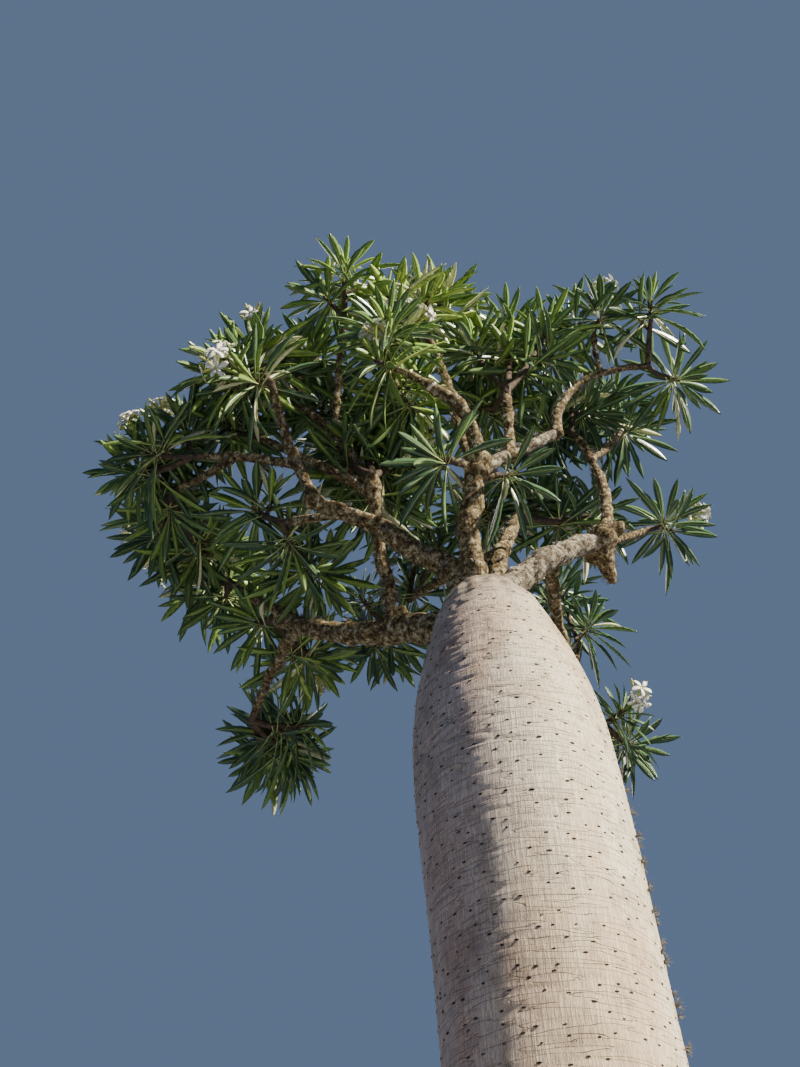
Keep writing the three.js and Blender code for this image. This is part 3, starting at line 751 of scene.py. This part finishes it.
def make_scars(material):
    """Small dark scars of fallen spines, in staggered rows, each an oval with level tails."""
    draws = Draws(71)
    pile = Pile()
    n = SCAR_SIDES
    angles = np.linspace(0, 2 * pi, n, endpoint=False)
    tails = np.cos(angles) ** 3 * 0.55 + np.cos(angles) * 0.65
    faces = []
    for i in range(n):
        j = (i + 1) % n
        faces += [[a + i, a + j, a + n + j, a + n + i] for a in (0, n)]
        faces.append([2 * n + i, 2 * n + j, 3 * n])
    height, last = SCAR_HEIGHTS
    row = 0
    while height < last:
        radius = trunk_radius(0.0, height)
        count = int(2 * pi * radius / SCAR_SPACING)
        for k in range(count):
            spot_b = 2 * pi * (k + 0.5 * (row % 2) + draws.between(-0.3, 0.3)) / count
            spot_h = height + draws.between(-20, 20)
            wide = draws.between(*SCAR_WIDE)
            tall = draws.between(*SCAR_TALL)
            if draws.next() < SCARS_MISSING:
                continue
            rings = []
            for share, out in SCAR_RINGS:
                up = np.clip(spot_h + share * tall * np.sin(angles), 1, 4160)
                rings.append(trunk_spots(spot_b + share * wide * tails / radius, up, out))
            rings.append(trunk_spots(np.array([spot_b]), np.array([spot_h])))
            pile.add(np.concatenate(rings), faces)
        height += SCAR_ROW + draws.between(-5, 5)
        row += 1
    return pile.object("trunk_scars", material)


def remeshed(pile):
    """The closed tubes of a pile fused into one skin: its points, edges, faces and normals."""
    temporary = pile.object("temporary", None)
    modifier = temporary.modifiers.new("fuse", "REMESH")
    modifier.mode = "VOXEL"
    modifier.voxel_size = BOUGH_VOXEL * MM
    modifier.adaptivity = 0.0
    graph = bpy.context.evaluated_depsgraph_get()
    mesh = bpy.data.meshes.new_from_object(temporary.evaluated_get(graph))

    def read(items, what, width, kind):
        values = np.empty(len(items) * width, kind)
        items.foreach_get(what, values)
        return values.reshape(-1, width)

    points = read(mesh.vertices, "co", 3, np.float32) / MM
    edges = read(mesh.edges, "vertices", 2, np.int32)
    normals = read(mesh.vertices, "normal", 3, np.float32)
    faces = [list(p.vertices) for p in mesh.polygons]
    bpy.data.meshes.remove(temporary.data)
    bpy.data.meshes.remove(mesh)
    return points, edges, faces, normals


def relaxed(points, edges):
    """Points moved towards their neighbours and back, so that tubes keep their girth."""
    degree = np.bincount(edges.ravel(), minlength=len(points))[:, None]
    for share in RELAX_STEPS:
        total = np.zeros_like(points)
        np.add.at(total, edges[:, 0], points[edges[:, 1]])
        np.add.at(total, edges[:, 1], points[edges[:, 0]])
        points = points + share * (total / np.maximum(degree, 1) - points)
    return points


def make_boughs(name, chosen, gnarls, material, extras):
    """The chosen limbs as one skin with rings, knuckles and a rough relief."""
    pile = Pile()
    for limb, parent, *_ in LIMBS:
        if limb not in chosen:
            continue
        gnarl = gnarls[limb]
        pile.tube(gnarl.spots, gnarl.widths, LIMB_SIDES)
        if parent != "trunk":
            pile.ball(gnarl.spots[0], (gnarl.widths[0] * 1.12,) * 2, gnarl.heading(0), 8, 12)
        if RADII[limb][1] > THICK_TIP:
            pile.ball(gnarl.spots[-1], (RADII[limb][1] * 1.2,) * 2, gnarl.heading(1), 8, 12)
    for spots, widths in extras:
        pile.tube(spots, widths, 12)
    points, edges, faces, normals = remeshed(pile)
    points = relaxed(points, edges)
    rough = noise(points / 34, 21) - 0.5 + 0.7 * (noise(points / 13, 22) - 0.5)
    points = points + normals * (rough * BOUGH_RELIEF)[:, None]
    return mesh_object(name, points, faces, material)


def lump(spot, heading, radius, reach, seed):
    """A knobbly swelling: its spots and widths."""
    draws = Draws(seed)
    spots, widths = [], []
    for k in range(7):
        t = k / 6
        spots.append(spot + heading * reach * (t - 0.5))
        round_off = 0.35 + 0.75 * sin(pi * (0.08 + 0.84 * t))
        widths.append(radius * round_off * draws.between(0.85, 1.15))
    return spots, widths


def knots(gnarls):
    """Swellings and short dead ends on the boughs, dark and pale. The right bough ends in a burl."""
    right, front, riser = gnarls["right"], gnarls["front"], gnarls["riser"]
    tip = right.point(1)
    low = gnarls["low_left"].point(0.34)
    burl = [
        lump(tip + aimed(250, -10) * 12, right.heading(1), 52, 120, 43),
        lump(tip + aimed(150, -50) * 60, aimed(120, -40), 36, 100, 44),
        ([tip + aimed(100 - step, -60) * step * 6 for step in (0, 10, 20, 30)], [46, 40, 32, 12]),
        ([tip, tip + aimed(335, 30) * 84, tip + aimed(330, 38) * 104], [32, 26, 15]),
    ]
    dark = [
        lump(riser.point(1), riser.heading(1), 32, 95, 41),
        lump(front.point(0.98), front.heading(1), 50, 110, 42),
        ([low, low + aimed(250, 30) * 82], [27, 19]),
    ]
    pale = [([right.point(0.9), right.point(0.9) + aimed(350, 10) * 88], [32, 22])]
    return dark + burl, pale, burl


def wood_test(curves):
    """A test whether a spot is inside a limb or the trunk, to keep leaves out of it."""
    rows = []
    for limb, curve in curves.items():
        steps = max(6, int(curve.length() / WOOD_STEP))
        for k in range(steps + 1):
            rows.append((curve.point(k / steps), limb_radius(RADII[limb], k / steps)))
    for height in np.arange(*WOOD_HEIGHTS, WOOD_STEP):
        rows.append((trunk_axis(height), trunk_width(height) / 2))
    tree = KDTree(len(rows))
    for i, (spot, _) in enumerate(rows):
        tree.insert(Vector(spot), i)
    tree.balance()

    def wood(spot, margin):
        near = tree.find_range(Vector(spot), WOOD_SEARCH)
        return any(distance < rows[i][1] + margin for _, i, distance in near)

    return wood


def leaf_line(leaf, shares):
    """Spots along a leaf's midrib, with its heading and upper side there."""
    arch, length = leaf["arch"], leaf["length"]
    bend = arch * shares
    along = np.sin(bend) / arch
    away = (1 - np.cos(bend)) / arch
    spots = leaf["root"] + np.outer(along * length, leaf["heading"])
    spots = spots - np.outer(away * length, leaf["upper"])
    spots = spots - np.outer(leaf["sag"] * length * shares ** 2, UP)
    headings = np.outer(np.cos(bend), leaf["heading"]) - np.outer(np.sin(bend), leaf["upper"])
    uppers = np.outer(np.cos(bend), leaf["upper"]) + np.outer(np.sin(bend), leaf["heading"])
    return spots, headings, uppers


def rosette(curve, count, draws, painted_sunlight):
    """The leaves of one rosette, from the young ones inside to the old ones below, in tones that are partly
    painted sunlight and partly random, with some painted glints.
    """
    centre, axis = curve.point(1), curve.heading(1)
    phase = draws.between(0, 360)
    mood = draws.between(-0.16, 0.16)
    leaves = []
    for k in range(count):
        age = (k + 0.5) / count
        spread = YOUNG_ANGLE + (OLD_ANGLE - YOUNG_ANGLE) * age ** 0.72 + draws.between(-7, 7)
        heading = turned(axis, spread, phase + GOLDEN_ANGLE * k)
        upper = unit(axis - heading * axis.dot(heading) + heading * 1e-6)
        length = LEAF_LENGTH * min(1, 0.42 + 0.95 * age) * draws.between(0.8, 1)
        # Painted sunlight: leaves in sunnier masses take lighter tones; the mood, the draw and the young
        # leaves' lift are random tone.
        bright = painted_sunlight + mood + draws.between(-0.3, 0.3) + (0.3 if age < 0.15 else 0)
        # Painted glints: some leaves, more of them in sunnier masses, take the pale tone.
        if draws.next() < PAINTED_GLINT_CHANCE + PAINTED_GLINT_SUN_CHANCE * painted_sunlight:
            bright = PAINTED_GLINT_BRIGHTNESS
        leaves.append(dict(
            root=centre - axis * ROSETTE_HEIGHT * age,
            heading=heading,
            upper=upper,
            length=length,
            width=LEAF_WIDTH * (0.62 + 0.38 * min(1, age * 2.4)) * draws.between(0.82, 1.12),
            arch=radians(draws.between(2, 16) + 18 * age),
            sag=draws.between(0, 0.08) * age,
            twist=draws.between(-0.5, 0.5),
            fold=LEAF_FOLD * draws.between(0.5, 1.5),
            bright=bright))
    return leaves


def leaf_points(leaf):
    """The closed skin of one leaf and of its stalk and midrib, station by station."""
    spots, headings, uppers = leaf_line(leaf, LEAF_STATIONS)
    flat = np.cross(headings, uppers)
    twist = leaf["twist"] * LEAF_STATIONS[:, None]
    across = flat * np.cos(twist) + uppers * np.sin(twist)
    uppers = uppers * np.cos(twist) - flat * np.sin(twist)
    half = (LEAF_OUTLINE * leaf["width"] / 2)[:, None]
    rise = tan(radians(leaf["fold"]))
    keel = (LEAF_KEEL * (1 - 0.75 * LEAF_STATIONS))[:, None]
    skin = [spots + across * half * s + uppers * (half * rise * f + keel * d) for s, f, d in LEAF_SECTION]
    centre, across, uppers, keel = (rows[RIB_STATIONS] for rows in (spots, across, uppers, keel))
    rib = (RIB_WIDTH * leaf["length"] / LEAF_LENGTH)[:, None]
    nerve = [centre + across * rib * 0.5 - uppers * keel * 0.6, centre + uppers * rib * 0.3,
             centre - across * rib * 0.5 - uppers * keel * 0.6, centre - uppers * (keel + rib * 0.3)]
    return np.stack(skin, 1).reshape(-1, 3), np.stack(nerve, 1).reshape(-1, 3)


def joined(name, parts, material):
    """Equal closed skins with four points at each station, as one mesh."""
    last = len(parts[0]) - 4
    faces = [[a + i, a + j, a + 4 + j, a + 4 + i]
             for a in range(0, last, 4) for i, j in ((0, 1), (1, 2), (2, 3), (3, 0))]
    faces = np.array(faces + [[3, 2, 1, 0], [last, last + 1, last + 2, last + 3]])
    shifts = (np.arange(len(parts)) * len(parts[0]))[:, None, None]
    return mesh_object(name, np.concatenate(parts), (faces + shifts).reshape(-1, 4), material)


def kept(leaf, wood, low, high):
    """The leaf at the first length that stays out of the wood and inside the tree's reach."""
    for share in SHORTER:
        trial = dict(leaf, length=leaf["length"] * share)
        spots = leaf_line(trial, LEAF_TESTS)[0]
        inside = (spots >= low).all() and (spots <= high).all()
        if inside and not any(wood(spot, LEAF_ROOM) for spot in spots):
            return trial
    return None


def blossom(curve, bearing, rise, draws, petals, throats, stalks):
    """A stalk from the end of a shoot with a spray of open flowers and buds."""
    heading = aimed(bearing, rise)
    root = curve.point(1) - curve.heading(1) * TWIG_SINK
    top = root + heading * STALK_LENGTH * STALK_SHARE
    stalks.tube([root, (root + top) / 2, top], [6, 5, 4.5], 6)
    flowers = FEWEST_FLOWERS + int(draws.next() * MORE_FLOWERS)
    for k in range(flowers):
        spread = 8 if k == 0 else draws.between(*FLOWER_SPREAD)
        out = turned(heading, spread, 360 * k / flowers + draws.between(-25, 25))
        mouth = top + out * draws.between(*FLOWER_REACH)
        throats.tube([top, top + (mouth - top) * 0.45, mouth - out * 4, mouth], TUBE_WIDTHS, 7)
        if draws.next() < BUD_CHANCE:
            throats.ball(mouth + out * 8, (6, 16), out, 5, 7)
            continue
        start = draws.between(0, 72)
        for p in range(PETALS):
            away = outward(out, radians(start + 360 / PETALS * p))
            petals.append(petal_points(mouth, out, away, draws.between(*PETAL_SCALE)))


def petal_points(mouth, out, away, scale):
    """One petal: narrow at the throat, broad and lopsided further out, and bent back."""
    across = np.cross(out, away)
    rows = []
    for share, half, skew in PETAL_ROWS:
        spot = mouth + away * (6 + PETAL_LENGTH * scale * share) + out * (7 * share - 13 * share * share)
        middle = spot + across * PETAL_WIDTH * scale * skew
        reach = across * PETAL_WIDTH * scale * half
        lift = out * 2.2 * half
        rows += [middle - reach + lift, middle + out * 0.4, middle + reach + lift, middle - out * 0.8]
    return np.array(rows)


def make_foliage(curves, wood, looks):
    """Twigs, leaves and blossom of every mass, joined by kind."""
    twigs, throats, stalks, thorns = Pile(), Pile(), Pile(), Pile()
    petals, nerves = [], []
    blades = {tone: [] for tone, _ in TONE_LIMITS}
    low = np.array(cad_low) / MM - REACH_ROOM
    high = np.array(cad_high) / MM + REACH_ROOM
    for mass in MASSES:
        _, seed, _, _, blossoms, painted_sunlight = mass
        stem, radius, main, sides, fine = branch(mass, curves)
        twigs.tube([stem.point(t) for t in (0, 0.5, 1)], [radius * 1.05, radius, radius], 9)
        twigs.ball(stem.end, (radius * 1.15, radius * 1.1), stem.heading(1), 5, 9)
        draws = Draws(seed + LEAF_SEEDS)
        clear = [s for s in fine if not any(wood(s[0].point(t), TWIG_ROOM) for t in (0.5, 1.0))]
        for k, (curve, width, count) in enumerate(main + sides + clear):
            gnarl = Gnarl(curve, (width, width * TWIG_TAPER), seed * 50 + k, TWIG_RINGS, TWIG_SWELL)
            spots = [curve.point(0) - curve.heading(0) * width * 0.5, *gnarl.spots[1:]]
            twigs.tube(spots, gnarl.widths / (1 + COLLAR * (gnarl.shares < 0.02)), 8)
            twigs.ball(curve.point(1), (width * 1.15, width * 1.2), curve.heading(1), 5, 8)
            for leaf in rosette(curve, count, draws, painted_sunlight):
                fitted = kept(leaf, wood, low, high)
                if fitted is None:
                    continue
                skin, nerve = leaf_points(fitted)
                tone = next(t for t, limit in TONE_LIMITS if fitted["bright"] < limit)
                blades[tone].append(skin)
                nerves.append(nerve)
            add_thorns(thorns, gnarl, draws, *TWIG_SPINES)
        flowers = Draws(seed + FLOWER_SEEDS)
        for number, bearing, rise in blossoms:
            blossom(main[number][0], bearing, rise, flowers, petals, throats, stalks)
    pieces = [joined(f"leaves_{tone}", parts, looks[f"leaf_{tone}"]) for tone, parts in blades.items()]
    pieces += [
        joined("leaf_midribs", nerves, looks["leaf_midrib"]),
        joined("petals", petals, looks["petal"]),
        throats.object("flower_tubes", looks["flower_tube"]),
        stalks.object("flower_stalks", looks["flower_stalk"]),
    ]
    shoots = twigs.object("twigs", looks["twig_bark"])
    return (shoots, thorns.object("twig_spines", looks["spines"], smooth=False)), pieces


def add_thorns(pile, gnarl, draws, start, shortest, longest, spacing, around):
    """Short spines in a spiral round a limb."""
    count = int(gnarl.reach * (1 - start) / spacing)
    for k in range(count):
        t = start + (1 - start) * (k + 0.5) / count
        heading = gnarl.heading(t)
        for m in range(around):
            angle = GOLDEN_ANGLE * k + 360 * m / around + draws.between(-20, 20)
            out = outward(heading, radians(angle))
            root = gnarl.point(t) + out * gnarl.width(t) * 0.88 + heading * draws.between(-8, 8)
            askew = np.cross(out, heading) * draws.between(-0.5, 0.5)
            lean = unit(out + heading * draws.between(-0.4, 0.7) + askew)
            pile.spike(root, root + lean * draws.between(shortest, longest), SPINE_WIDTH)


def make_thorns(gnarls, burl, material):
    """Spines that stand out all ways from the burl, and on every limb, thin on the old wood."""
    pile = Pile()
    draws = Draws(88)
    for spots, widths in burl:
        for a, b, wide, narrow in zip(spots, spots[1:], widths, widths[1:]):
            heading = unit(b - a)
            for _ in range(BURL_SPINES):
                t = draws.next()
                out = outward(heading, draws.between(0, 2 * pi))
                root = a + (b - a) * t + out * (wide + (narrow - wide) * t) * 0.9
                lean = unit(out + heading * draws.between(-0.6, 0.6))
                pile.spike(root, root + lean * draws.between(*BURL_SPINE_LENGTH), BURL_SPINE_WIDTH)
    for limb, gnarl in gnarls.items():
        spines = OLD_SPINES if RADII[limb][0] > THICK_LIMB else YOUNG_SPINES
        add_thorns(pile, gnarl, Draws(900 + sum(map(ord, limb))), *spines)
    return pile.object("bough_spines", material, smooth=False)


def make_tufts(gnarls, material):
    """Grey lichen tufts on the boughs and along the right side of the trunk."""
    draws = Draws(333)
    pile = Pile()

    def tuft(root, out, size):
        side, lift = square_to(out)
        for _ in range(TUFT_HAIRS):
            lean = unit(out + side * draws.between(-1.1, 1.1) + lift * draws.between(-1.1, 1.1))
            middle = root + lean * size * draws.between(0.35, 0.6)
            bent = unit(lean + side * draws.between(-0.7, 0.7) + lift * draws.between(-0.7, 0.7))
            end = middle + bent * size * draws.between(0.3, 0.55)
            pile.tube([root - out * 3, middle, end], TUFT_WIDTHS, 3)

    for limb, gnarl in gnarls.items():
        share = SHAGGY_SHARE if limb in SHAGGY_LIMBS else BARE_SHARE
        for _ in range(int(gnarl.reach / TUFT_SPACING)):
            if draws.next() > share:
                continue
            t = draws.between(0.06, 0.98)
            out = outward(gnarl.heading(t), draws.between(0, 2 * pi))
            tuft(gnarl.point(t) + out * gnarl.width(t) * 0.92, out, draws.between(13, 27))
    many, start, span = TRUNK_TUFTS
    for k in range(many):
        bearing = draws.between(-26, 16)
        height = start + span * (k + draws.next()) / many
        root = trunk_spots(np.array([radians(bearing)]), np.array([height]))[0]
        tuft(root, aimed(bearing, 0), draws.between(14, 28))
    return pile.object("lichen_tufts", material, smooth=False)


def make_stub_end(gnarls, looks):
    """The broken end of the stub: pale wood round a reddish middle."""
    curve = gnarls["stub"]
    tip, heading = curve.point(1), curve.heading(1)
    draws = Draws(77)
    pale, core = Pile(), Pile()
    radius = RADII["stub"][1] * 1.06
    pale.tube([tip + heading * step for step in (-12, 2, 5, 1)],
              [radius * share for share in (0.98, 1, 0.7, 0.45)], 14)
    core.tube([tip + heading * step for step in (-6, 4, 2.5)],
              [radius * share for share in (0.5, 0.5, 0.2)], 11)
    for _ in range(9):
        out = outward(heading, draws.between(0, 2 * pi))
        root = tip + out * radius * 0.8
        pale.spike(root, root + unit(heading + out * draws.between(0, 0.6)) * draws.between(6, 14), 2.6)
    return pale.object("stub_wood", looks["stub_wood"]), core.object("stub_heart", looks["stub_heart"])


def make_stage():
    """A pale floor, soft light and the camera at the photograph's angle."""
    finish = Finish("floor", 0.9, 0.2)
    finish.colour(linear(172, 171, 168))
    corners = [(x * FLOOR_REACH, y * FLOOR_REACH, -2) for x, y in ((-1, -1), (1, -1), (1, 1), (-1, 1))]
    mesh_object("floor", corners, [(0, 1, 2, 3)], finish.material, smooth=False)

    world = bpy.data.worlds.new("studio")
    world.use_nodes = True
    background = world.node_tree.nodes["Background"]
    background.inputs["Color"].default_value = linear(158, 186, 232)
    background.inputs["Strength"].default_value = WORLD_STRENGTH
    bpy.context.scene.world = world

    for name, direction, strength, angle, colour in SUNS:
        light = bpy.data.lights.new(name, "SUN")
        light.energy = strength
        light.angle = radians(angle)
        light.color = colour
        lamp = placed(name, light)
        lamp.rotation_euler = Vector(direction).to_track_quat("Z", "Y").to_euler()

    camera = bpy.data.cameras.new("camera")
    camera.sensor_width = SENSOR
    camera.lens = SENSOR * FOCAL_LENGTH / PHOTO_HEIGHT
    viewer = placed("camera", camera)
    viewer.location = CAMERA_PLACE
    viewer.rotation_euler = (radians(90 + CAMERA_PITCH), 0, 0)
    bpy.context.scene.camera = viewer


def main():
    curves = limb_curves()
    gnarls = {limb: Gnarl(curves[limb], RADII[limb], 500 + sum(map(ord, limb)), LIMB_RINGS, LIMB_SWELL)
              for limb in curves}
    looks = {name: plain_finish(name, *row) for name, row in FINISHES.items()}
    brown = bough_finish("bough_bark", BROWN_BARK)
    grey = bough_finish("bough_bark_pale", GREY_BARK)
    dark_limbs = [limb for limb in curves if limb not in PALE_LIMBS]
    dark_knots, pale_knots, burl = knots(gnarls)
    trunk = make_trunk(trunk_finish())
    scars = make_scars(looks["scars"])
    dark = make_boughs("boughs_brown", dark_limbs, gnarls, brown, dark_knots)
    pale = make_boughs("boughs_grey", PALE_LIMBS, gnarls, grey, pale_knots)
    spines = make_thorns(gnarls, burl, looks["spines"])
    tufts = make_tufts(gnarls, looks["lichen"])
    stub = make_stub_end(gnarls, looks)
    twigs, foliage = make_foliage(curves, wood_test(curves), looks)

    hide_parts("trunk")
    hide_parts(*[f"bough_{limb}" for limb in dark_limbs])
    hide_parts(*[f"bough_{limb}" for limb in PALE_LIMBS])
    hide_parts(*[f"leaves_{mass[0]}" for mass in MASSES])
    slots = {
        "trunk_bark": (trunk, scars),
        "limb_bark": (dark, pale, spines, tufts, *twigs, *stub),
        "leaves": foliage,
    }
    for slot, pieces in slots.items():
        for piece in pieces:
            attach(piece, "root")

    make_stage()
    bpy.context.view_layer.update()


main()
